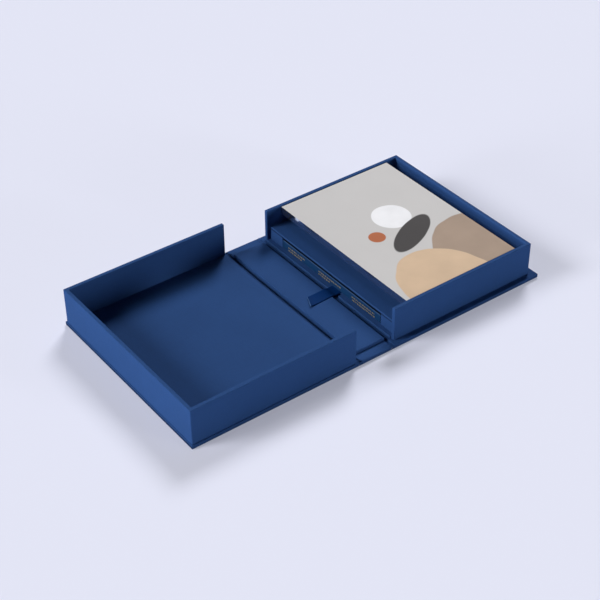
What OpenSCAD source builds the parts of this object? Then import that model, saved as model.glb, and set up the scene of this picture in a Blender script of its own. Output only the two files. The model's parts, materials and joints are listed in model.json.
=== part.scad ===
// Clamshell booklet box, lying open: a cloth-covered case of two covers and a spine, a lid tray
// on the front cover, a base tray on the back cover, a booklet bay with a ribbon pull, and a
// mounted picture that stands on the shelf over the bay.
// Millimetres. The origin is under the middle of the open case, +X runs from the lid tray to the
// base tray, +Y towards the head of the box and +Z up.

/* [Boards and cloth] */
// Thickness of the greyboard in the covers, the spine and the tray walls
board_t = 3; // [2:0.5:4]
// Thickness of the book cloth with its paste
cloth_t = 0.4; // [0.3:0.05:0.6]
// Radius of an edge that the cloth is wrapped round
edge_r = 0.8; // [0.6:0.1:1]
// Width of the cloth that is turned in over the inside of a cover
turn_in = 12; // [8:1:20]

/* [Lid tray] */
// Outside length of the lid tray, open end to fore edge; a wide picture makes it longer
lid_len = 166.9; // [158:0.1:210]
// Outside depth of the lid tray, head to tail
lid_depth = 199; // [180:0.5:240]
// Height of the lid tray's walls above the cover
lid_wall_h = 35.7; // [33:0.1:45]
// Thickness of the board in the lid tray's floor
lid_floor_board_t = 1.5; // [1:0.5:2]

/* [Case] */
// How far a cover stands out past the lid tray at the fore edge
fore_square = 1; // [0.5:0.1:5]
// How far the case stands out past the lid tray at the head and the tail
head_square = 1.3; // [0.5:0.1:5]
// Width of the groove between a cover and the spine
groove_w = 3; // [2:0.1:4]
// Distance from a hinge line to the open end of the lid tray
lid_setback = 3.9; // [3.6:0.1:8]

/* [Spine panel] */
// Distance from a hinge line to the edge of the raised panel
panel_setback = 1.4; // [1:0.1:4]
// Distance from the head or tail of the case to the end of the raised panel
panel_inset = 10.8; // [8:0.1:20]
// Thickness of the board in the raised panel
panel_board_t = 2.5; // [1.5:0.5:2.5]

/* [Closing fit] */
// Side clearance between the base tray and the lid tray when the box is shut
nest_gap = 0.7; // [0.5:0.1:2]
// Clearance at the fore edge between the two trays when the box is shut
fore_gap = 2.2; // [1:0.1:4]
// Clearance between the lid tray's rim and the back cover when the box is shut
rim_gap = 0.6; // [0.4:0.1:2]
// Clearance between the base tray's rim and the lid tray's floor when the box is shut
top_gap = 0.7; // [0.4:0.1:2]

/* [Base tray] */
// Distance from the hinge line to the open end of the base tray
base_setback = 4.8; // [4.4:0.1:8]
// Distance from the hinge line to the front edge of the base tray's floor
floor_setback = 3.9; // [3.4:0.1:6]
// Thickness of the board in the base tray's floor
base_floor_board_t = 1.5; // [1:0.5:3]

/* [Booklet] */
// Height of the booklet, along its spine
booklet_len = 143; // [120:1:160]
// Width of the booklet, from its spine to its fore edge
booklet_w = 105; // [80:1:120]
// Thickness of the booklet at its spine
booklet_t = 8.5; // [4:0.5:10]
// Thickness of the booklet's card cover
booklet_cover_t = 0.5; // [0.3:0.1:1]

/* [Booklet bay] */
// Distance from the front edge of the floor to the front of the bay
bay_setback = 4.7; // [4.5:0.1:10]
// Distance from the front of the bay to the spine of the booklet
booklet_recess = 0.2; // [0.1:0.1:3]
// Clearance at each end of the booklet
booklet_end_gap = 0.5; // [0.3:0.1:2]
// Clearance between the booklet's fore edge and the back stop
booklet_back_gap = 1.2; // [0.9:0.1:3]
// Clearance between the booklet and the shelf over it
booklet_top_gap = 2.7; // [0.5:0.1:3]
// Width of the back stop and of the rear rail
rail_w = 12; // [6:1:18]
// Thickness of the board in the shelf
shelf_board_t = 1.5; // [1:0.5:3]

/* [Ribbon pull] */
// Width of the ribbon
ribbon_w = 13.5; // [8:0.5:20]
// Thickness of the ribbon
ribbon_t = 0.3; // [0.2:0.05:0.5]
// Place of the middle of the ribbon, from the middle of the box towards the head
ribbon_y = -10.6; // [-40:0.1:40]
// How far the ribbon's longer corner reaches past the middle of the spine
ribbon_reach = 8.6; // [0:0.1:14]
// How much shorter the ribbon's other corner is
ribbon_slant = 6; // [0:0.1:10]
// How far the ribbon's loose end lifts off the spine panel
ribbon_lift = 0.8; // [0:0.1:3]
// Clearance between the ribbon and what it lies on or passes
ribbon_gap = 0.3; // [0.1:0.05:0.5]
// Clearance between the ribbon and each side of its notch
notch_gap = 0.8; // [0.4:0.1:3]
// Depth of the notch in the floor's front edge
notch_depth = 4; // [2:0.1:4.5]

/* [Mounted picture] */
// Width of the mounted picture, from front to back
plate_w = 127; // [100:1:132]
// Thickness of the plate
plate_t = 8; // [4:0.5:10]
// Thickness of the print on the plate
print_t = 0.3; // [0.2:0.1:0.5]
// Distance from the front of the bay to the plate, room for a finger
finger_gap = 13; // [8:0.5:18]
// Least room behind the plate, which the trays grow to keep
rear_gap = 3; // [1:0.5:12]
// Clearance between the plate and the tray at the head and the tail
plate_gap = 0.7; // [0.4:0.1:3]
// Distance from the base tray's rim down to the print
rim_drop = 0.8; // [0.3:0.1:4]
// How far the riser stands back from the edges of the plate
riser_inset = 9; // [4:0.5:20]
// Chamfer round the lower edges of the plate
plate_chamfer = 0.4; // [0.2:0.1:1]

/* [Hidden] */
$fn = 48;
cloth_blue = [0.13, 0.25, 0.45];
ribbon_blue = [0.04, 0.14, 0.33];
booklet_blue = [0.06, 0.2, 0.35];
board_grey = [0.56, 0.54, 0.5];
paper_white = [0.9, 0.89, 0.86];
plate_silver = [0.8, 0.81, 0.82];
print_grey = [0.76, 0.75, 0.75];
riser_black = [0.04, 0.04, 0.05];

// Walls and case
cover_t = board_t + 2 * cloth_t;
wall_t = board_t + 2 * cloth_t;
case_depth = lid_depth + 2 * head_square;
hinge_x = (lid_wall_h + rim_gap) / 2;
groove_in = hinge_x - groove_w / 2;
groove_out = hinge_x + groove_w / 2;

// Lid tray, on the front cover: as long as asked for, or as the picture in the base tray needs
picture_reach = floor_setback + bay_setback + finger_gap + plate_w + rear_gap;
lid_fit_len = max(lid_len, picture_reach + fore_gap + 2 * wall_t - lid_setback);
lid_open_x = hinge_x + lid_setback;
lid_fore_x = lid_open_x + lid_fit_len;
case_fore_x = lid_fore_x + fore_square;
cover_len = case_fore_x - groove_out;
spine_margin = 2 * edge_r;
lid_floor_t = lid_floor_board_t + cloth_t;
lid_inner_depth = lid_depth - 2 * wall_t;

// Spine panel
panel_w = 2 * (hinge_x - panel_setback);
panel_depth = case_depth - 2 * panel_inset;
panel_t = panel_board_t + cloth_t;
panel_top = cover_t + panel_t;

// Base tray, on the back cover
base_depth = lid_inner_depth - 2 * nest_gap;
base_inner_depth = base_depth - 2 * wall_t;
base_open_x = hinge_x + base_setback;
base_fore_x = lid_fore_x - wall_t - fore_gap;
base_len = base_fore_x - base_open_x;
base_inner_x = base_fore_x - wall_t;
base_wall_h = lid_wall_h + rim_gap - lid_floor_t - top_gap;
base_rim = cover_t + base_wall_h;
floor_x = hinge_x + floor_setback;
base_floor_t = base_floor_board_t + cloth_t;
floor_top = cover_t + base_floor_t;

// Booklet and its bay
bay_x = floor_x + bay_setback;
booklet_x = bay_x + booklet_recess;
booklet_z = floor_top + ribbon_t + ribbon_gap / 2;
bay_end_y = booklet_len / 2 + booklet_end_gap;
block_w = base_inner_depth / 2 - bay_end_y;
bay_top = booklet_z + booklet_t + booklet_top_gap;
bay_h = bay_top - floor_top;
stop_x = booklet_x + booklet_w + booklet_back_gap;
rail_x = base_inner_x - rail_w;
shelf_t = shelf_board_t + cloth_t;
shelf_top = bay_top + shelf_t;

// Mounted picture
plate_x = bay_x + finger_gap;
plate_depth = base_inner_depth - 2 * plate_gap;
plate_z = base_rim - rim_drop - print_t - plate_t;
riser_h = plate_z - shelf_top;

// Ribbon and its notch
notch_w = ribbon_w + 2 * notch_gap;
notch_r = 1.5;
ribbon_steps = 40;

// Overlap of a cut past the face that it opens
over = 1;

// A rectangle with round corners, its middle at the origin
module round_rect(w, h, r) {
    square([w - 2 * r, h], center = true);
    square([w, h - 2 * r], center = true);
    for (x = [-1, 1], y = [-1, 1])
        translate([x * (w / 2 - r), y * (h / 2 - r)]) circle(r);
}

// A rectangle that stands on the X axis, with only its upper corners round
module arch_rect(w, h, r) {
    translate([-w / 2, 0]) square([w, h - r]);
    translate([r - w / 2, 0]) square([w - 2 * r, h]);
    for (x = [-1, 1])
        translate([x * (w / 2 - r), h - r]) circle(r);
}

// Children drawn in XZ, extruded along Y
module along_y(d) {
    rotate([90, 0, 0]) linear_extrude(d, center = true) children();
}

// Children drawn in YZ, extruded along X
module along_x(w) {
    rotate([90, 0, 90]) linear_extrude(w, center = true) children();
}

// A board wrapped on both faces: every edge is round
module wrapped_block(w, d, h, r) {
    intersection() {
        linear_extrude(h) round_rect(w, d, r);
        along_y(d + over) translate([0, h / 2]) round_rect(w, h, r);
        along_x(w + over) translate([0, h / 2]) round_rect(d, h, r);
    }
}

// A board wrapped on its upper face only: its lower edges are sharp
module capped_block(w, d, h, r) {
    intersection() {
        linear_extrude(h) round_rect(w, d, r);
        along_y(d + over) arch_rect(w, h, r);
        along_x(w + over) arch_rect(d, h, r);
    }
}

// A board in a case of the given length, with its middle at x
module case_board(x, w) {
    translate([x, 0, cover_t / 2])
        cube([w - 2 * cloth_t, case_depth - 2 * cloth_t, board_t], center = true);
}

// The card that levels the space inside the turn-ins, which are as wide as margin along the sides
module case_infill(x, w, margin) {
    translate([x, 0, cover_t - cloth_t / 2])
        cube([w - 2 * margin, case_depth - 2 * turn_in, cloth_t], center = true);
}

// The cloth round a case board, turned in over its inner face
module case_cloth(x, w, margin) {
    difference() {
        translate([x, 0, 0]) wrapped_block(w, case_depth, cover_t, edge_r);
        case_board(x, w);
        case_infill(x, w, margin);
    }
}

// The cloth that is pressed into the groove between two boards
module joint_cloth(x) {
    translate([x, 0, 0]) along_y(case_depth - 2 * edge_r)
        translate([0, edge_r]) difference() {
            arch_rect(groove_w, cover_t - 2 * edge_r, cloth_t);
            translate([0, -over]) arch_rect(groove_w - 2 * cloth_t,
                cover_t - 2 * edge_r - cloth_t + over, cloth_t);
        }
}

// The three walls of a tray in plan, open at x = 0
module tray_plan(len, depth) {
    for (s = [-1, 1])
        translate([len / 2, s * (depth - wall_t) / 2]) round_rect(len, wall_t, edge_r);
    translate([len - wall_t / 2, 0]) round_rect(wall_t, depth, edge_r);
}

// What is cut from an edge to make it round
module edge_cut() {
    difference() {
        square(edge_r + over);
        circle(edge_r);
    }
}

// The cloth over a tray's walls: outside, over the rim and down inside
module tray_cloth(len, depth, h) {
    inner_y = depth / 2 - wall_t;
    inner_x = len - wall_t;
    difference() {
        intersection() {
            linear_extrude(h) tray_plan(len, depth);
            translate([len / 2, 0, 0]) along_y(depth + over) arch_rect(len, h, edge_r);
            translate([len / 2, 0, 0]) along_x(len + over) arch_rect(depth, h, edge_r);
        }
        for (m = [0, 1])
            mirror([0, m, 0])
                translate([inner_x / 2, inner_y + edge_r, h - edge_r])
                    along_x(inner_x) mirror([1, 0]) edge_cut();
        translate([inner_x + edge_r, 0, h - edge_r])
            along_y(2 * inner_y) mirror([1, 0]) edge_cut();
        for (s = [-1, 1]) tray_side_board(len, depth, h, s);
        tray_end_board(len, depth, h);
    }
}

// The board in a tray's head wall (side 1) or tail wall (side -1)
module tray_side_board(len, depth, h, side) {
    translate([cloth_t, side * (depth - wall_t) / 2 - board_t / 2, 0])
        cube([len - 2 * cloth_t, board_t, h - cloth_t]);
}

// The board in a tray's fore-edge wall, between the two side boards
module tray_end_board(len, depth, h) {
    between = depth - 2 * (cloth_t + board_t);
    translate([len - cloth_t - board_t, -between / 2, 0]) cube([board_t, between, h - cloth_t]);
}

// Places a tray on the back cover, and on the front cover as its mirror image
module on_back_cover() { translate([base_open_x, 0, cover_t]) children(); }
module on_front_cover() { translate([-lid_open_x, 0, cover_t]) mirror([1, 0, 0]) children(); }

// A board that lies flat under its cloth cap: x0 to x1, depth d, on the height z
module flat_board(x0, x1, d, z, t) {
    translate([x0 + cloth_t, cloth_t - d / 2, z]) cube([x1 - x0 - 2 * cloth_t, d - 2 * cloth_t, t]);
}

// The cloth over the upper face and the edges of such a board
module flat_cloth(x0, x1, d, z, t) {
    difference() {
        translate([(x0 + x1) / 2, 0, z]) capped_block(x1 - x0, d, t + cloth_t, edge_r);
        flat_board(x0, x1, d, z, t);
    }
}

// The notch in the front edge of the base tray's floor, larger by the given margin
module notch(margin) {
    depth = notch_depth + margin;
    w = notch_w + 2 * margin;
    translate([floor_x - over, ribbon_y, cover_t - over])
        linear_extrude(base_floor_t + 2 * over) {
            translate([0, -w / 2]) square([depth + over - notch_r, w]);
            translate([0, notch_r - w / 2]) square([depth + over, w - 2 * notch_r]);
            for (s = [-1, 1])
                translate([depth + over - notch_r, s * (w / 2 - notch_r)]) circle(notch_r);
        }
}

// Case, back cover side
module back_cover_board() {
    color(board_grey) case_board((groove_out + case_fore_x) / 2, cover_len);
}
module back_cover_cloth() {
    color(cloth_blue) case_cloth((groove_out + case_fore_x) / 2, cover_len, turn_in);
}
module back_cover_infill() {
    color(board_grey) case_infill((groove_out + case_fore_x) / 2, cover_len, turn_in);
}
module back_joint_cloth() { color(cloth_blue) joint_cloth(hinge_x); }

// Case, spine
module spine_board() { color(board_grey) case_board(0, 2 * groove_in); }
module spine_cloth() { color(cloth_blue) case_cloth(0, 2 * groove_in, spine_margin); }
module spine_infill() { color(board_grey) case_infill(0, 2 * groove_in, spine_margin); }
module spine_panel_board() {
    color(board_grey) flat_board(-panel_w / 2, panel_w / 2, panel_depth, cover_t, panel_board_t);
}
module spine_panel_cloth() {
    color(cloth_blue) flat_cloth(-panel_w / 2, panel_w / 2, panel_depth, cover_t, panel_board_t);
}

// Case, front cover side
module front_joint_cloth() { color(cloth_blue) joint_cloth(-hinge_x); }
module front_cover_board() {
    color(board_grey) case_board(-(groove_out + case_fore_x) / 2, cover_len);
}
module front_cover_cloth() {
    color(cloth_blue) case_cloth(-(groove_out + case_fore_x) / 2, cover_len, turn_in);
}
module front_cover_infill() {
    color(board_grey) case_infill(-(groove_out + case_fore_x) / 2, cover_len, turn_in);
}

// Lid tray
module lid_floor_board() {
    color(board_grey) flat_board(-lid_fore_x + wall_t, -lid_open_x, lid_inner_depth, cover_t,
        lid_floor_board_t);
}
module lid_floor_cloth() {
    color(cloth_blue) flat_cloth(-lid_fore_x + wall_t, -lid_open_x, lid_inner_depth, cover_t,
        lid_floor_board_t);
}
module lid_head_wall() {
    color(board_grey) on_front_cover() tray_side_board(lid_fit_len, lid_depth, lid_wall_h, 1);
}
module lid_tail_wall() {
    color(board_grey) on_front_cover() tray_side_board(lid_fit_len, lid_depth, lid_wall_h, -1);
}
module lid_fore_wall() {
    color(board_grey) on_front_cover() tray_end_board(lid_fit_len, lid_depth, lid_wall_h);
}
module lid_tray_cloth() {
    color(cloth_blue) on_front_cover() tray_cloth(lid_fit_len, lid_depth, lid_wall_h);
}

// Base tray
module base_floor_board() {
    color(board_grey) difference() {
        flat_board(floor_x, base_inner_x, base_inner_depth, cover_t, base_floor_board_t);
        notch(cloth_t);
    }
}
module base_floor_cloth() {
    color(cloth_blue) difference() {
        translate([(floor_x + base_inner_x) / 2, 0, cover_t])
            capped_block(base_inner_x - floor_x, base_inner_depth, base_floor_t, edge_r);
        base_floor_board();
        notch(0);
    }
}
module base_head_wall() {
    color(board_grey) on_back_cover() tray_side_board(base_len, base_depth, base_wall_h, 1);
}
module base_tail_wall() {
    color(board_grey) on_back_cover() tray_side_board(base_len, base_depth, base_wall_h, -1);
}
module base_fore_wall() {
    color(board_grey) on_back_cover() tray_end_board(base_len, base_depth, base_wall_h);
}
module base_tray_cloth() {
    color(cloth_blue) on_back_cover() tray_cloth(base_len, base_depth, base_wall_h);
}

// Booklet bay
module bay_end_block(side) {
    translate([(bay_x + rail_x) / 2, side * (bay_end_y + block_w / 2), floor_top])
        capped_block(rail_x - bay_x, block_w, bay_h, edge_r);
}
module bay_cross_rail(x, depth) {
    translate([x, -depth / 2, floor_top]) cube([rail_w, depth, bay_h]);
}
module bay_head_block() { color(cloth_blue) bay_end_block(1); }
module bay_tail_block() { color(cloth_blue) bay_end_block(-1); }
module bay_back_stop() { color(cloth_blue) bay_cross_rail(stop_x, 2 * bay_end_y); }
module bay_rear_rail() { color(board_grey) bay_cross_rail(rail_x, base_inner_depth); }
module shelf_board() {
    color(board_grey) flat_board(bay_x, base_inner_x, base_inner_depth, bay_top, shelf_board_t);
}
module shelf_cloth() {
    color(cloth_blue) flat_cloth(bay_x, base_inner_x, base_inner_depth, bay_top, shelf_board_t);
}

// Height of the ribbon's underside: on the floor, then up on to the spine panel to a loose end
function smooth(t) = let (u = max(0, min(1, t))) u * u * (3 - 2 * u);
function ribbon_under(x) =
    let (rise = panel_top + ribbon_gap - floor_top, land = panel_w / 2, tip = -ribbon_reach)
    floor_top + rise * smooth((floor_x - x) / (floor_x - land))
    + (x < land ? ribbon_lift * pow((land - x) / (land - tip), 2) : 0);
module ribbon_pull() {
    front = [for (i = [0:ribbon_steps]) bay_x - (bay_x + ribbon_reach) * i / ribbon_steps];
    back_x = stop_x;
    under = [for (x = front) [x, ribbon_under(x)]];
    upper = [for (i = [ribbon_steps:-1:0]) [front[i], ribbon_under(front[i]) + ribbon_t]];
    tail = [[back_x - ribbon_t, floor_top + ribbon_t], [back_x - ribbon_t, bay_top],
        [back_x, bay_top], [back_x, floor_top]];
    color(ribbon_blue) difference() {
        translate([0, ribbon_y, 0]) along_y(ribbon_w) polygon(concat(under, upper, tail));
        translate([0, ribbon_y, floor_top - over])
            linear_extrude(panel_t + ribbon_lift + 4 * over)
                polygon([[-ribbon_reach, -ribbon_w / 2],
                    [ribbon_slant - ribbon_reach, ribbon_w / 2],
                    [ribbon_slant - ribbon_reach, ribbon_w / 2 + over],
                    [-ribbon_reach - over, ribbon_w / 2 + over],
                    [-ribbon_reach - over, -ribbon_w / 2]]);
    }
}

// Booklet: a card cover folded round the pages, trimmed flush on three sides
module booklet_outline() {
    translate([edge_r, 0]) square([booklet_w - edge_r, booklet_t]);
    translate([0, edge_r]) square([booklet_w, booklet_t - 2 * edge_r]);
    for (z = [edge_r, booklet_t - edge_r]) translate([edge_r, z]) circle(edge_r);
}
module page_outline() {
    translate([booklet_cover_t, booklet_cover_t])
        square([booklet_w - booklet_cover_t, booklet_t - 2 * booklet_cover_t]);
}
module booklet_cover() {
    color(booklet_blue) translate([booklet_x, 0, booklet_z]) along_y(booklet_len) difference() {
        booklet_outline();
        page_outline();
    }
}
module booklet_pages() {
    color(paper_white) translate([booklet_x, 0, booklet_z]) along_y(booklet_len) page_outline();
}

// Mounted picture: a polished plate with a print on it, carried by a set-back riser
module picture_riser() {
    color(riser_black) translate([plate_x + plate_w / 2, 0, shelf_top])
        linear_extrude(riser_h)
            round_rect(plate_w - 2 * riser_inset, plate_depth - 2 * riser_inset, edge_r);
}
module plate_section(w) {
    c = plate_chamfer;
    polygon([[c - w / 2, 0], [w / 2 - c, 0], [w / 2, c], [w / 2, plate_t],
        [-w / 2, plate_t], [-w / 2, c]]);
}
module picture_plate() {
    color(plate_silver) translate([plate_x + plate_w / 2, 0, plate_z]) intersection() {
        along_y(plate_depth) plate_section(plate_w);
        along_x(plate_w) plate_section(plate_depth);
    }
}
module picture_print() {
    color(print_grey) translate([plate_x + plate_w / 2, 0, plate_z + plate_t + print_t / 2])
        cube([plate_w, plate_depth, print_t], center = true);
}

back_cover_board();
back_cover_cloth();
back_cover_infill();
back_joint_cloth();
base_floor_board();
base_floor_cloth();
base_head_wall();
base_tail_wall();
base_fore_wall();
base_tray_cloth();
bay_head_block();
bay_tail_block();
bay_back_stop();
bay_rear_rail();
shelf_board();
shelf_cloth();
ribbon_pull();
picture_riser();
picture_plate();
picture_print();
spine_board();
spine_cloth();
spine_infill();
spine_panel_board();
spine_panel_cloth();
front_joint_cloth();
front_cover_board();
front_cover_cloth();
front_cover_infill();
lid_floor_board();
lid_floor_cloth();
lid_head_wall();
lid_tail_wall();
lid_fore_wall();
lid_tray_cloth();
booklet_cover();
booklet_pages();
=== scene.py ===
"""Looks of the booklet box: book cloth, card, paper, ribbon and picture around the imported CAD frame."""

import json
import math

import bpy
from mathutils import Matrix, Vector


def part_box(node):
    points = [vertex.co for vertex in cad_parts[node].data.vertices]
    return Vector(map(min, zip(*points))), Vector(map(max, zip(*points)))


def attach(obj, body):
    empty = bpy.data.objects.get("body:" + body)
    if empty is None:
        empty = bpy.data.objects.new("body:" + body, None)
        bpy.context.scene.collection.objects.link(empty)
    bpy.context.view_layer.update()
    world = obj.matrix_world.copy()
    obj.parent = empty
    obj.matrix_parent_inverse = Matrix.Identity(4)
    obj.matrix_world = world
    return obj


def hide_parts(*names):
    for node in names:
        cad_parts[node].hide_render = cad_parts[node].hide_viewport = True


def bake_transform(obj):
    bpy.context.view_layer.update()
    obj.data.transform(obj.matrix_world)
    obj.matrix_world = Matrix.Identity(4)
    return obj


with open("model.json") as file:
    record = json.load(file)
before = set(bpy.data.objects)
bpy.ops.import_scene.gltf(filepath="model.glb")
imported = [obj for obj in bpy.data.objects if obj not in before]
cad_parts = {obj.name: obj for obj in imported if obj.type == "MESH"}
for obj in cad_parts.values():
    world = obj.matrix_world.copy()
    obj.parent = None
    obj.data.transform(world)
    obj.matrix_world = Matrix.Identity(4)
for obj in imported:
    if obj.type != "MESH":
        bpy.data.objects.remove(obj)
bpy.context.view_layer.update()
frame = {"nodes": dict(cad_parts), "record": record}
MM = 0.001


# Places that the frame gives, in millimetres
def box_mm(node):
    """Lowest and highest corner of a CAD node at rest."""
    low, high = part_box(node)
    return low / MM, high / MM


panel_high = box_mm("spine_panel_cloth")[1]
floor_high = box_mm("base_floor_cloth")[1]
case_low, case_high = box_mm("spine_cloth")
booklet_low, booklet_high = box_mm("booklet_cover")
block_low, block_high = box_mm("bay_head_block")
print_low, print_high = box_mm("picture_print")
print_middle = (print_low + print_high) / 2
case_depth = case_high.y - case_low.y

# Sizes of the added pieces, in millimetres and degrees
RIBBON_W = 13.2
RIBBON_T = 0.25
RIBBON_FOOT_X = 26.0
RIBBON_FOOT_Y = -9.75
RIBBON_TIP_Y = -11.3
RIBBON_LONG_X = -8.6
RIBBON_SHORT_X = -2.6
RIBBON_CUP = 0.05
RIBBON_LIFT = 0.03
RIBBON_BEHIND = 0.75
STRIP_T = 0.3
STRIP_RIM_Z = 3.35
STRIP_DEPTH = 2.2
STRIP_FOOT_Z = 0.5
STRIP_END_HALF = 1.62
STRIP_FLAT_PAST_PANEL = 4.0
STRIP_DEEP_BEFORE_END = 3.0
TITLE_UPPER_Z = 10.8
TITLE_LOWER_Z = 7.9
TITLE_RAISE = 0.04
DASH_H = 1.8
DASH_GAP = 0.6
STAGE_HALF = 4000.0


# Colours
def srgb(red, green, blue):
    """A colour as a picture shows it, 0 to 255, as the linear values that a shader takes."""
    def linear(value):
        share = value / 255
        return share / 12.92 if share <= 0.04045 else ((share + 0.055) / 1.055) ** 2.4
    return (linear(red), linear(green), linear(blue), 1.0)


def shade(colour, factor):
    """The same colour, lighter or darker."""
    return (colour[0] * factor, colour[1] * factor, colour[2] * factor, 1.0)


CLOTH_BLUE = srgb(41, 71, 120)
CARD_BLUE = srgb(18, 53, 91)
# painted highlight for the card's rounded fold edges
CARD_FOLD_HIGHLIGHT = srgb(66, 90, 126)
# painted shade for the card's flat sides
CARD_SIDE_SHADE = srgb(5, 18, 38)
RIBBON_BLUE = srgb(9, 44, 94)
RIBBON_CUT = srgb(72, 104, 150)
FOIL_GOLD = srgb(156, 142, 106)
BOARD_GREY = srgb(150, 146, 138)
PAPER_WHITE = srgb(232, 229, 220)
FOAM_BLACK = srgb(24, 24, 26)
EDGE_SILVER = srgb(206, 218, 234)
FLOOR_PALE = srgb(227, 229, 245)
FLOOR_PLAIN_SHARE = 0.35
PICTURE_GROUND = srgb(193, 191, 191)
PICTURE_SAND = srgb(203, 176, 148)
PICTURE_TAUPE = srgb(158, 138, 122)
PICTURE_CHARCOAL = srgb(58, 55, 55)
PICTURE_WHITE = srgb(230, 230, 234)
PICTURE_RUST = srgb(172, 98, 62)


# Materials
class Paint:
    """A material and short calls that add nodes to it. Lengths in its nodes are millimetres."""

    def __init__(self, name):
        self.material = bpy.data.materials.new(name)
        self.material.use_nodes = True
        self.tree = self.material.node_tree
        self.shader = self.tree.nodes["Principled BSDF"]

    def feed(self, socket, value):
        """Gives a socket a value, or a link from another socket."""
        if isinstance(value, bpy.types.NodeSocket):
            self.tree.links.new(value, socket)
        else:
            socket.default_value = value

    def set(self, **values):
        """Sets the shader's own sockets, by name with _ for a space."""
        for name, value in values.items():
            self.feed(self.shader.inputs[name.replace("_", " ")], value)

    def math(self, operation, *values):
        node = self.tree.nodes.new("ShaderNodeMath")
        node.operation = operation
        for socket, value in zip(node.inputs, values):
            self.feed(socket, value)
        return node.outputs[0]

    def many(self, operation, values):
        """One result of several values, taken two at a time."""
        result = values[0]
        for value in values[1:]:
            result = self.math(operation, result, value)
        return result

    def add(self, *values):
        return self.many("ADD", values)

    def times(self, *values):
        return self.many("MULTIPLY", values)

    def greatest(self, *values):
        return self.many("MAXIMUM", values)

    def distance(self, value, place):
        """How far a value is from a place on its axis."""
        return self.math("ABSOLUTE", self.add(value, -place))

    def remap(self, value, from_low, from_high, to_low, to_high):
        node = self.tree.nodes.new("ShaderNodeMapRange")
        for socket, given in zip(node.inputs, (value, from_low, from_high, to_low, to_high)):
            self.feed(socket, given)
        return node.outputs[0]

    def mix(self, factor, first, second):
        node = self.tree.nodes.new("ShaderNodeMix")
        node.data_type = "RGBA"
        self.feed(node.inputs["Factor"], factor)
        colours = [socket for socket in node.inputs if socket.type == "RGBA"]
        self.feed(colours[0], first)
        self.feed(colours[1], second)
        return next(socket for socket in node.outputs if socket.type == "RGBA")

    def tones(self, factor, colour, darkest, lightest):
        """A colour between a darker and a lighter tone of itself."""
        return self.mix(factor, shade(colour, darkest), shade(colour, lightest))

    def rough(self, value, low, high):
        """Roughness from low to high, as noise goes over its usual range."""
        self.set(Roughness=self.remap(value, 0.3, 0.7, low, high))

    def vector(self, x, y, z):
        node = self.tree.nodes.new("ShaderNodeCombineXYZ")
        for socket, value in zip(node.inputs, (x, y, z)):
            self.feed(socket, value)
        return node.outputs[0]

    def split(self, socket):
        node = self.tree.nodes.new("ShaderNodeSeparateXYZ")
        self.feed(node.inputs[0], socket)
        return node.outputs[0], node.outputs[1], node.outputs[2]

    def coordinates(self, kind):
        return self.tree.nodes.new("ShaderNodeTexCoord").outputs[kind]

    def place(self):
        """The point on the piece at rest, x, y and z in millimetres."""
        return [self.times(axis, 1 / MM) for axis in self.split(self.coordinates("Object"))]

    def facing(self):
        """How far the surface faces each axis, as three shares that add up to 1."""
        return [self.times(axis, axis) for axis in self.split(self.coordinates("Normal"))]

    def noise(self, x, y, z, size, detail=2.0):
        """Soft noise from 0 to 1. Size is the length of a patch, one number or one for each axis."""
        sizes = size if isinstance(size, tuple) else (size, size, size)
        scaled = [self.times(axis, 1 / length) for axis, length in zip((x, y, z), sizes)]
        node = self.tree.nodes.new("ShaderNodeTexNoise")
        self.feed(node.inputs["Vector"], self.vector(*scaled))
        node.inputs["Scale"].default_value = 1.0
        node.inputs["Detail"].default_value = detail
        return node.outputs["Fac"]

    def wave(self, axis, pitch):
        """A sine along one axis, from -1 to 1."""
        return self.math("SINE", self.times(axis, 2 * math.pi / pitch))

    def bump(self, height, depth, strength):
        """Raises the surface by height, a share of depth in millimetres."""
        node = self.tree.nodes.new("ShaderNodeBump")
        node.inputs["Strength"].default_value = strength
        node.inputs["Distance"].default_value = depth * MM
        self.feed(node.inputs["Height"], height)
        self.feed(self.shader.inputs["Normal"], node.outputs[0])


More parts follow.
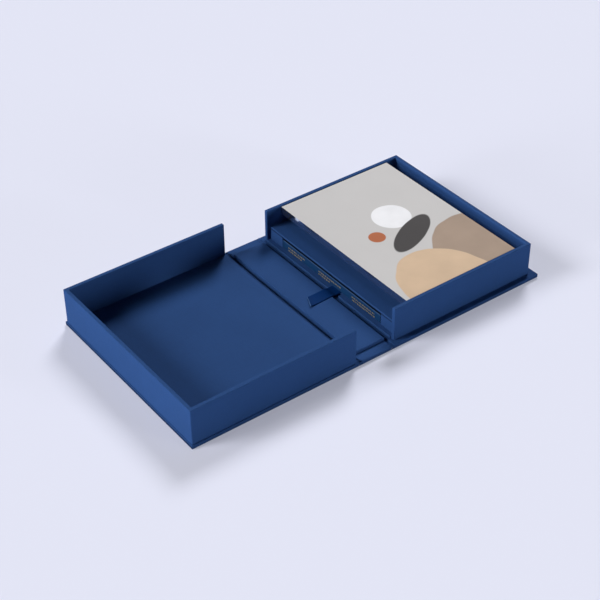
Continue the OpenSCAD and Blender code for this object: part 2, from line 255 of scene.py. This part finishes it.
def book_cloth():
    """Fine plain-weave book cloth, pasted down: threads both ways, slubs, paler rounded edges that are partly
    wear and partly a painted highlight, painted shade on the case's lower side faces, most on faces toward
    -X, and a painted shade line where the shelf's front meets the blocks under it."""
    pitch, thread, run, patch = 0.46, 0.55, 9.0, 38.0
    shade_below, unshaded_above = 2.9, 3.6
    seam_shade_half, seam_shade_end = 0.45, 0.9
    front_half, front_end = 0.5, 1.0
    paint = Paint("book_cloth")
    x, y, z = paint.place()
    face_x, face_y, face_z = paint.facing()
    wave_x, wave_y, wave_z = [paint.wave(axis, pitch) for axis in (x, y, z)]
    weave = paint.add(
        paint.times(wave_x, wave_y, face_z),
        paint.times(wave_x, wave_z, face_y),
        paint.times(wave_y, wave_z, face_x),
    )
    slub_x = paint.noise(x, y, z, (run, thread, thread))
    slub_y = paint.noise(x, y, z, (thread, run, thread))
    slub_z = paint.noise(x, y, z, (thread, thread, run))
    slub = paint.times(paint.add(slub_x, slub_y, slub_z), 1 / 3)
    mottle = paint.noise(x, y, z, patch, detail=3.0)
    # paler rounded edges: partly wear, partly a painted highlight where the rounds catch light
    wear_and_highlight = paint.remap(paint.greatest(face_x, face_y, face_z), 0.55, 0.95, 1.0, 0.0)
    tone = paint.add(
        paint.times(weave, 0.22),
        paint.times(slub, 1.1),
        paint.times(mottle, 0.35),
        paint.times(wear_and_highlight, 0.2),
        -0.225,
    )
    colour = paint.tones(tone, CLOTH_BLUE, 0.8, 1.2)
    # painted shade on the case's side faces below 2.9 to 3.6 mm, strongest on faces toward -X
    shade_facing = paint.add(paint.times(face_x, 0.8), paint.times(face_y, 0.2))
    edge = paint.times(paint.remap(z, shade_below, unshaded_above, 1.0, 0.0), shade_facing)
    # painted shade line in the seam where the shelf's front meets the blocks under it
    seam_shade = paint.times(
        paint.remap(paint.distance(z, block_high.z), seam_shade_half, seam_shade_end, 1.0, 0.0),
        paint.remap(paint.distance(x, block_low.x), front_half, front_end, 1.0, 0.0),
        face_x,
    )
    # both painted shades, mixed toward a quarter of the cloth's colour
    dark = paint.greatest(edge, seam_shade)
    paint.set(Base_Color=paint.mix(dark, colour, shade(CLOTH_BLUE, 0.25)), Specular_IOR_Level=0.04)
    paint.rough(slub, 0.74, 0.9)
    paint.bump(paint.add(paint.times(weave, 0.5), slub), depth=0.07, strength=0.7)
    return paint.material


def greyboard():
    """Binder's board: grey with darker and lighter fibres."""
    paint = Paint("greyboard")
    x, y, z = paint.place()
    fibres = paint.noise(x, y, z, (2.2, 0.5, 0.35), detail=4.0)
    specks = paint.noise(x, y, z, 0.35)
    tone = paint.add(paint.times(fibres, 0.7), paint.times(specks, 0.5), -0.1)
    paint.set(Base_Color=paint.tones(tone, BOARD_GREY, 0.75, 1.2), Specular_IOR_Level=0.2)
    paint.rough(fibres, 0.82, 0.95)
    paint.bump(fibres, depth=0.1, strength=0.6)
    return paint.material


def booklet_card():
    """Smooth blue card with a faint fibre, a painted highlight on the rounded edges of its fold, and painted
    shade that makes its flat sides nearly black.
    """
    paint = Paint("booklet_card")
    x, y, z = paint.place()
    face_x, face_y, face_z = paint.facing()
    fibre = paint.noise(x, y, z, (0.5, 1.6, 0.5), detail=3.0)
    cloud = paint.noise(x, y, z, 22.0)
    # painted highlight on the card's rounded fold edges
    fold_highlight = paint.remap(paint.greatest(face_x, face_y, face_z), 0.55, 0.9, 1.0, 0.0)
    tone = paint.add(paint.times(fibre, 0.6), paint.times(cloud, 0.4))
    spine = paint.tones(tone, CARD_BLUE, 0.86, 1.14)
    # up- and down-facing sides painted near-black: painted shade for the dark gap under the shelf
    side = paint.tones(tone, CARD_SIDE_SHADE, 0.8, 1.2)
    colour = paint.mix(paint.remap(face_z, 0.8, 0.95, 0.0, 1.0), spine, side)
    paint.set(Base_Color=paint.mix(fold_highlight, colour, CARD_FOLD_HIGHLIGHT), Specular_IOR_Level=0.1)
    paint.rough(fibre, 0.5, 0.62)
    paint.bump(fibre, depth=0.02, strength=0.5)
    return paint.material


def booklet_paper():
    """Trimmed page edges: fine lines, one to a sheet, in an uncoated white paper."""
    sheet_t = 0.14
    paint = Paint("booklet_paper")
    x, y, z = paint.place()
    wander = paint.times(paint.noise(x, y, z, 9.0), 0.5)
    lines = paint.wave(paint.add(z, wander), sheet_t)
    stain = paint.noise(x, y, z, 14.0)
    tone = paint.add(paint.times(lines, 0.25), paint.times(stain, 0.6), 0.2)
    paint.set(Base_Color=paint.tones(tone, PAPER_WHITE, 0.84, 1.0), Specular_IOR_Level=0.25)
    paint.rough(stain, 0.8, 0.92)
    paint.bump(lines, depth=0.03, strength=0.5)
    return paint.material


def ribbon_satin():
    """Satin ribbon: long floats along it, fine ribs across it, a firm selvedge each side, a paler cut end."""
    selvedge_from, selvedge_full = RIBBON_W / 2 - 0.7, RIBBON_W / 2 - 0.45
    cut_full, cut_to = 0.3, 0.7
    paint = Paint("ribbon_satin")
    across, along, _ = paint.split(paint.coordinates("UV"))
    across_mm = paint.times(across, 1 / MM)
    along_mm = paint.times(along, 1 / MM)
    floats = paint.noise(across_mm, along_mm, 0.0, (0.16, 5.0, 1.0), detail=3.0)
    ribs = paint.wave(along_mm, 0.35)
    out = paint.distance(across_mm, RIBBON_W / 2)
    selvedge = paint.remap(out, selvedge_from, selvedge_full, 0.0, 1.0)
    tone = paint.add(paint.times(floats, 0.9), paint.times(ribs, 0.08), paint.times(selvedge, -0.35))
    woven = paint.tones(tone, RIBBON_BLUE, 0.75, 1.3)
    cut = paint.remap(along_mm, cut_full, cut_to, 1.0, 0.0)
    paint.set(Base_Color=paint.mix(cut, woven, RIBBON_CUT), Specular_IOR_Level=0.005, Anisotropic=0.4)
    paint.rough(floats, 0.42, 0.55)
    relief = paint.add(paint.times(floats, 0.6), paint.times(ribs, 0.2), selvedge)
    paint.bump(relief, depth=0.05, strength=0.6)
    return paint.material


def picture_foam():
    """Black foam board: fine closed cells."""
    paint = Paint("picture_foam")
    x, y, z = paint.place()
    cells = paint.noise(x, y, z, 0.6, detail=3.0)
    paint.set(Base_Color=paint.tones(cells, FOAM_BLACK, 0.7, 1.3), Specular_IOR_Level=0.2)
    paint.rough(cells, 0.75, 0.95)
    paint.bump(cells, depth=0.1, strength=0.5)
    return paint.material


def picture_edge():
    """The plate's mirror-polished edge, with faint polishing lines along it and a little haze."""
    paint = Paint("picture_edge")
    x, y, z = paint.place()
    lines = paint.noise(x, y, z, (6.0, 6.0, 0.12), detail=3.0)
    haze = paint.noise(x, y, z, 16.0)
    paint.set(Base_Color=paint.tones(haze, EDGE_SILVER, 0.9, 1.0), Metallic=0.985)
    paint.set(Roughness=paint.remap(paint.add(lines, haze), 0.7, 1.3, 0.05, 0.13))
    paint.bump(lines, depth=0.01, strength=0.3)
    return paint.material


def foil():
    """Stamped gold foil, worn so that the card shows through in spots."""
    paint = Paint("foil")
    x, y, z = paint.place()
    wear = paint.noise(x, y, z, 1.3)
    kept = paint.remap(wear, 0.32, 0.5, 0.0, 1.0)
    paint.set(Base_Color=paint.mix(kept, CARD_BLUE, FOIL_GOLD), Metallic=0.2)
    paint.rough(wear, 0.35, 0.55)
    return paint.material


def picture_paper():
    """A semi-gloss print of plain rounded stones and hills in sand, taupe, charcoal, white and rust."""
    shapes = [
        # along X, along Y, half width, half height, turn in degrees, edge, colour
        (40.0, -78.0, 46.0, 62.0, -24.0, 0.4, PICTURE_TAUPE),
        (-14.0, -92.0, 44.0, 52.0, 10.0, 0.4, PICTURE_SAND),
        (8.0, 16.0, 19.0, 19.0, 0.0, 0.35, PICTURE_WHITE),
        (6.0, -16.0, 33.0, 12.0, 28.0, 0.35, PICTURE_CHARCOAL),
        (-24.0, -2.0, 8.0, 8.0, 0.0, 0.35, PICTURE_RUST),
    ]
    paint = Paint("picture_paper")
    x, y, z = paint.place()
    across = paint.add(x, -print_middle.x)
    along = paint.add(y, -print_middle.y)
    wobble = paint.times(paint.add(paint.noise(x, y, z, 34.0, detail=1.0), -0.5), 0.14)
    wash = paint.noise(x, y, z, 30.0, detail=3.0)
    colour = paint.tones(wash, PICTURE_GROUND, 0.97, 1.03)
    for middle_x, middle_y, half_w, half_h, turn, edge, tint in shapes:
        cosine, sine = math.cos(math.radians(turn)), math.sin(math.radians(turn))
        off_x = paint.add(across, -middle_x)
        off_y = paint.add(along, -middle_y)
        local_x = paint.add(paint.times(off_x, cosine / half_w), paint.times(off_y, sine / half_w))
        local_y = paint.add(paint.times(off_y, cosine / half_h), paint.times(off_x, -sine / half_h))
        reach = paint.math("SQRT", paint.add(paint.times(local_x, local_x), paint.times(local_y, local_y)))
        soft = edge / min(half_w, half_h)
        inside = paint.remap(paint.add(reach, wobble), 1 - soft, 1 + soft, 1.0, 0.0)
        colour = paint.mix(inside, colour, paint.tones(wash, tint, 0.84, 1.14))
    grain = paint.noise(x, y, z, 0.4)
    paint.set(Base_Color=colour, Specular_IOR_Level=0.06)
    paint.rough(grain, 0.5, 0.6)
    paint.bump(grain, depth=0.01, strength=0.4)
    return paint.material


def seen_directly(tree):
    """A socket that is 1 where the camera sees, also in a mirror or through glass, and 0 otherwise."""
    path = tree.nodes.new("ShaderNodeLightPath")
    seen = path.outputs["Is Camera Ray"]
    for kind in ("Is Glossy Ray", "Is Transmission Ray"):
        either = tree.nodes.new("ShaderNodeMath")
        either.operation = "MAXIMUM"
        tree.links.new(seen, either.inputs[0])
        tree.links.new(path.outputs[kind], either.inputs[1])
        seen = either.outputs[0]
    return seen


def stage_floor():
    """The plain pale surface that the box lies on. A share of its colour shows unshaded, which makes the
    box's shadow on it paler."""
    paint = Paint("stage_floor")
    paint.set(Base_Color=FLOOR_PALE, Roughness=1.0, Specular_IOR_Level=0.0)
    plain = paint.tree.nodes.new("ShaderNodeEmission")
    plain.inputs["Color"].default_value = FLOOR_PALE
    plain.inputs["Strength"].default_value = 1.0
    both = paint.tree.nodes.new("ShaderNodeMixShader")
    paint.feed(both.inputs[0], paint.times(seen_directly(paint.tree), FLOOR_PLAIN_SHARE))
    paint.feed(both.inputs[1], paint.shader.outputs[0])
    paint.feed(both.inputs[2], plain.outputs[0])
    paint.feed(paint.tree.nodes["Material Output"].inputs["Surface"], both.outputs[0])
    return paint.material


paints = {
    "book_cloth": book_cloth(),
    "greyboard": greyboard(),
    "ribbon_satin": ribbon_satin(),
    "picture_foam": picture_foam(),
    "picture_edge": picture_edge(),
    "picture_paper": picture_paper(),
    "booklet_card": booklet_card(),
    "booklet_paper": booklet_paper(),
}
foil_paint = foil()
for subpart in frame["record"]["subparts"]:
    cad_mesh = frame["nodes"][subpart["node"]].data
    cad_mesh.materials.clear()
    cad_mesh.materials.append(paints[subpart["material_slot"]])


# Pieces
def new_mesh(name, verts, faces, material):
    mesh = bpy.data.meshes.new(name)
    mesh.from_pydata(verts, [], faces)
    mesh.materials.append(material)
    return mesh


def put_in_scene(name, data):
    """A new object with the given mesh, lamp or camera."""
    item = bpy.data.objects.new(name, data)
    bpy.context.scene.collection.objects.link(item)
    return item


def within(value):
    """The value, kept from 0 to 1."""
    return max(0.0, min(1.0, value))


def smooth_route(points, steps):
    """Points on a smooth curve through the given ones, with that many steps between each two."""
    first = points[0] * 2 - points[1]
    last = points[-1] * 2 - points[-2]
    full = [first, *points, last]
    route = []
    for i in range(1, len(full) - 2):
        a, b, c, d = full[i - 1:i + 3]
        for k in range(steps):
            t = k / steps
            straight = 2 * b + (c - a) * t
            bent = straight + (2 * a - 5 * b + 4 * c - d) * t ** 2
            route.append(0.5 * (bent + (3 * b - a - 3 * c + d) * t ** 3))
    route.append(points[-1])
    return route


def block(low, high, first):
    """The corners of a plain block in metres, and its faces, where its first corner has the given number."""
    corners = []
    for z in (low.z, high.z):
        for y in (low.y, high.y):
            corners += [Vector((x, y, z)) * MM for x in (low.x, high.x)]
    sides = [(0, 2, 3, 1), (4, 5, 7, 6), (0, 1, 5, 4), (2, 6, 7, 3), (0, 4, 6, 2), (1, 3, 7, 5)]
    return corners, [tuple(first + corner for corner in side) for side in sides]


def thin_sheet(name, rows, thickness, material, ends=()):
    """A closed thin mesh: rows of points in millimetres on its underside, thickened to the upper side, and
    a block for each turned-down end. Its UV map holds real lengths in metres, across and back from the
    last row. Gives the piece and its length in metres."""
    count, width = len(rows), len(rows[0])
    centre = [row[width // 2] for row in rows]
    verts = []
    for side in (0, 1):
        for i, row in enumerate(rows):
            along = centre[min(i + 1, count - 1)] - centre[max(i - 1, 0)]
            across = row[-1] - row[0]
            normal = across.cross(along).normalized()
            verts += [(point + normal * thickness * side) * MM for point in row]
    upper = count * width
    faces = []
    for i in range(count - 1):
        for j in range(width - 1):
            a, b = i * width + j, (i + 1) * width + j
            faces.append((a, a + 1, b + 1, b))
            faces.append((upper + a, upper + b, upper + b + 1, upper + a + 1))
        for j, order in ((0, 1), (width - 1, -1)):
            a, b = i * width + j, (i + 1) * width + j
            faces.append((a, b, upper + b, upper + a)[::order])
    for i, order in ((0, -1), (count - 1, 1)):
        for j in range(width - 1):
            a = i * width + j
            faces.append((a, a + 1, upper + a + 1, upper + a)[::order])
    sheet_count = len(verts)
    for low, high in ends:
        corners, sides = block(low, high, len(verts))
        verts += corners
        faces += sides
    mesh = new_mesh(name, verts, faces, material)
    lengths = [0.0]
    for before, after in zip(centre, centre[1:]):
        lengths.append(lengths[-1] + (after - before).length * MM)
    uv = mesh.uv_layers.new(name="lengths")
    for loop in mesh.loops:
        if loop.vertex_index >= sheet_count:
            continue
        i, j = divmod(loop.vertex_index % upper, width)
        uv.data[loop.index].uv = ((rows[i][j] - rows[i][0]).length * MM, lengths[-1] - lengths[i])
    for polygon in mesh.polygons:
        polygon.use_smooth = polygon.vertices[0] < sheet_count
    return put_in_scene(name, mesh), lengths[-1]


def make_ribbon():
    """The ribbon: up behind the booklet, under it, out of the notch and over the spine panel."""
    rest, floor_top, panel_top = RIBBON_LIFT, floor_high.z, panel_high.z
    back_x = booklet_high.x + RIBBON_BEHIND
    route = [
        # along X, height of the underside
        (back_x, floor_top + 10.6), (back_x, floor_top + 4.0), (back_x - 0.3, floor_top + 0.5),
        (back_x - 1.6, floor_top + rest), (120.0, floor_top + rest), (60.0, floor_top + rest),
        (30.0, floor_top + rest), (RIBBON_FOOT_X, floor_top + rest), (23.0, floor_top + 0.1),
        (21.3, floor_top + 0.22), (19.8, floor_top + 0.5), (18.3, panel_top - 0.19),
        (16.4, panel_top + rest), (14.2, panel_top + 0.06), (11.5, panel_top + 0.04),
        (8.5, panel_top + 0.05), (4.0, panel_top + rest), (0.0, panel_top + 0.12),
        (-4.0, panel_top + 0.4), (RIBBON_LONG_X, panel_top + 1.0),
    ]
    route_steps, across_steps = 8, 10
    rows = []
    for point in smooth_route([Vector((x, 0.0, z)) for x, z in route], route_steps):
        lean = within((RIBBON_FOOT_X - point.x) / (RIBBON_FOOT_X - RIBBON_LONG_X))
        middle = RIBBON_FOOT_Y + (RIBBON_TIP_Y - RIBBON_FOOT_Y) * lean
        row = []
        for j in range(across_steps + 1):
            share = j / across_steps
            y = middle + RIBBON_W * (share - 0.5)
            pulled = (RIBBON_SHORT_X - RIBBON_LONG_X) * share * lean ** 3
            cup = RIBBON_CUP * (1 - (2 * share - 1) ** 2 * lean)
            row.append(Vector((point.x + pulled, y, point.z + cup)))
        rows.append(row)
    ribbon, length = thin_sheet("ribbon", rows, RIBBON_T, paints["ribbon_satin"])
    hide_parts("ribbon_pull")
    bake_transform(ribbon)


def make_joint_cloth(node, cover_side, shallow):
    """The cloth pressed into the groove between the spine and a cover: down the spine's side, across the
    bottom, up the cover's side and onto its round edge. Its depth at both ends, where it turns down, is
    shallow. The cover lies on the +X side of the groove or on the -X side: cover_side is 1 or -1."""
    low, high = box_mm(node)
    middle = (low.x + high.x) / 2
    profile = [
        # across from the spine to the cover, share of the depth, height over the rim
        (-1.44, 0.0, 0.0), (-1.44, 0.4, 0.0), (-1.42, 0.7, 0.0), (-1.25, 0.9, 0.0), (-0.85, 1.0, 0.0),
        (0.0, 1.0, 0.0), (0.75, 1.0, 0.0), (1.12, 0.9, 0.0), (1.3, 0.7, 0.0), (1.36, 0.4, 0.0),
        (1.42, 0.1, 0.0), (1.54, 0.0, 0.08), (1.66, 0.0, 0.18), (1.78, 0.0, 0.25),
    ]
    length_steps = 60
    flat_from = panel_high.y + STRIP_FLAT_PAST_PANEL
    deep_from = panel_high.y - STRIP_DEEP_BEFORE_END
    rows = []
    for across, share, over in profile:
        row = []
        for j in range(length_steps + 1):
            place = j / length_steps if cover_side < 0 else 1 - j / length_steps
            y = case_low.y + case_depth * place
            sunk = within((flat_from - abs(y)) / (flat_from - deep_from))
            depth = shallow + (STRIP_DEPTH - shallow) * sunk
            row.append(Vector((middle + cover_side * across, y, STRIP_RIM_Z - share * depth + over)))
        rows.append(row)
    ends = []
    for end_y, inward in ((case_low.y, 1), (case_high.y, -1)):
        near_y, far_y = sorted((end_y, end_y + inward * STRIP_T))
        ends.append((Vector((middle - STRIP_END_HALF, near_y, STRIP_FOOT_Z)),
                     Vector((middle + STRIP_END_HALF, far_y, STRIP_RIM_Z))))
    strip, width = thin_sheet(node + "_strip", rows, STRIP_T, paints["book_cloth"], ends)
    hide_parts(node)
    if cover_side > 0:
        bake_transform(strip)
    else:
        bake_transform(strip)


def dash_outline(far_y, near_y, height):
    """Points around a dash with round ends, as y and z."""
    end_steps, radius = 4, DASH_H / 2
    outline = []
    for middle_y, side in ((far_y - radius, 1), (near_y + radius, -1)):
        for k in range(end_steps + 1):
            angle = math.radians(90 - 180 * k / end_steps) * side
            outline.append((middle_y + side * radius * math.cos(angle),
                            height + side * radius * math.sin(angle)))
    return outline


def make_title(number, lines):
    """Plain foil dashes on the booklet's spine, in place of a title. Each line is a height, the place of its
    far end along Y, and the lengths of its dashes."""
    verts, faces = [], []
    for height, far_y, dashes in lines:
        for dash in dashes:
            near_y = far_y - dash
            outline = dash_outline(far_y, near_y, height)
            base, count = len(verts), len(outline)
            for x in (booklet_low.x, booklet_low.x - TITLE_RAISE):
                verts += [Vector((x, y, z)) * MM for y, z in outline]
            faces.append([base + count + k for k in range(count)])
            for k in range(count):
                after = (k + 1) % count
                faces.append((base + k, base + after, base + count + after, base + count + k))
            far_y = near_y - DASH_GAP
    name = f"title_{number}"
    title = put_in_scene(name, new_mesh(name, verts, faces, foil_paint))
    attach(title, "booklet")


make_ribbon()
make_joint_cloth("back_joint_cloth", cover_side=1, shallow=0.5)
make_joint_cloth("front_joint_cloth", cover_side=-1, shallow=1.4)
make_title(1, [
    (TITLE_UPPER_Z, 63.2, [4.2, 3.0, 5.0, 2.6, 4.4, 3.2]),
    (TITLE_LOWER_Z, 63.4, [2.8, 4.6, 3.4, 5.2, 2.4]),
])
make_title(2, [
    (TITLE_UPPER_Z, 17.2, [3.2, 4.8, 2.8, 5.6, 4.4, 3.6, 4.8]),
    (TITLE_LOWER_Z, 17.4, [4.4, 3.0, 5.0, 3.0]),
])
make_title(3, [
    (TITLE_UPPER_Z, -31.4, [5.0, 3.4, 4.2, 2.8, 5.2, 4.4, 3.4]),
    (TITLE_LOWER_Z, -31.8, [3.6, 5.0, 4.2, 2.8, 4.6, 3.4, 4.8]),
])


# Stage: floor, world, lamps and camera
def make_floor():
    """A plain square on the ground."""
    half = STAGE_HALF * MM
    corners = [(-half, -half, 0), (half, -half, 0), (half, half, 0), (-half, half, 0)]
    floor = put_in_scene("floor", new_mesh("floor", corners, [(0, 1, 2, 3)], stage_floor()))


def make_world(ambient):
    """Even light from all round, and the floor's pale colour wherever the background itself is seen."""
    world = bpy.data.worlds.new("world")
    bpy.context.scene.world = world
    world.use_nodes = True
    tree = world.node_tree
    lit = tree.nodes["Background"]
    lit.inputs["Color"].default_value = (1.0, 1.0, 1.0, 1.0)
    lit.inputs["Strength"].default_value = ambient
    seen = tree.nodes.new("ShaderNodeBackground")
    seen.inputs["Color"].default_value = FLOOR_PALE
    seen.inputs["Strength"].default_value = 1.0
    choice = tree.nodes.new("ShaderNodeMixShader")
    tree.links.new(seen_directly(tree), choice.inputs["Fac"])
    tree.links.new(lit.outputs[0], choice.inputs[1])
    tree.links.new(seen.outputs[0], choice.inputs[2])
    tree.links.new(choice.outputs[0], tree.nodes["World Output"].inputs["Surface"])


def make_lamp(name, towards, level, angle):
    """A sun lamp that stands in the given direction, as wide as angle in degrees. At level 1 it alone lights
    a facing white surface to white."""
    data = bpy.data.lights.new(name, "SUN")
    data.energy = level * math.pi
    data.angle = math.radians(angle)
    lamp = put_in_scene(name, data)
    lamp.rotation_mode = "QUATERNION"
    lamp.rotation_quaternion = Vector(towards).to_track_quat("Z", "Y")


def make_camera(azimuth, elevation, roll, distance, target, lens):
    """A camera that looks at target from the given angles, in degrees, and distance, in millimetres."""
    turn, rise, tip = [math.radians(angle) for angle in (azimuth, elevation, roll)]
    back = Vector((math.sin(turn) * math.cos(rise), -math.cos(turn) * math.cos(rise), math.sin(rise)))
    right = (-back).cross(Vector((0, 0, 1))).normalized()
    up = right.cross(-back)
    tipped_right = right * math.cos(tip) + up * math.sin(tip)
    tipped_up = up * math.cos(tip) - right * math.sin(tip)
    data = bpy.data.cameras.new("camera")
    data.lens = lens
    data.clip_end = 50.0
    camera = put_in_scene("camera", data)
    camera.matrix_world = Matrix((tipped_right, tipped_up, back)).transposed().to_4x4()
    camera.location = (Vector(target) + back * distance) * MM
    bpy.context.scene.camera = camera


make_floor()
make_world(ambient=0.02)
make_lamp("window", (-0.783, 0.316, 0.536), level=0.735, angle=21)
make_lamp("side", (-0.993, 0.035, 0.111), level=0.643, angle=22)
make_lamp("back", (0.589, 0.505, 0.631), level=0.753, angle=19)
make_lamp("front", (0.43, -0.898, 0.098), level=0.41, angle=10.5)
make_camera(azimuth=-36.633, elevation=37.573, roll=-0.42, distance=1332.37,
            target=(-4.13, 3.88, 0.0), lens=88.77)
bpy.context.scene.view_settings.view_transform = "Standard"
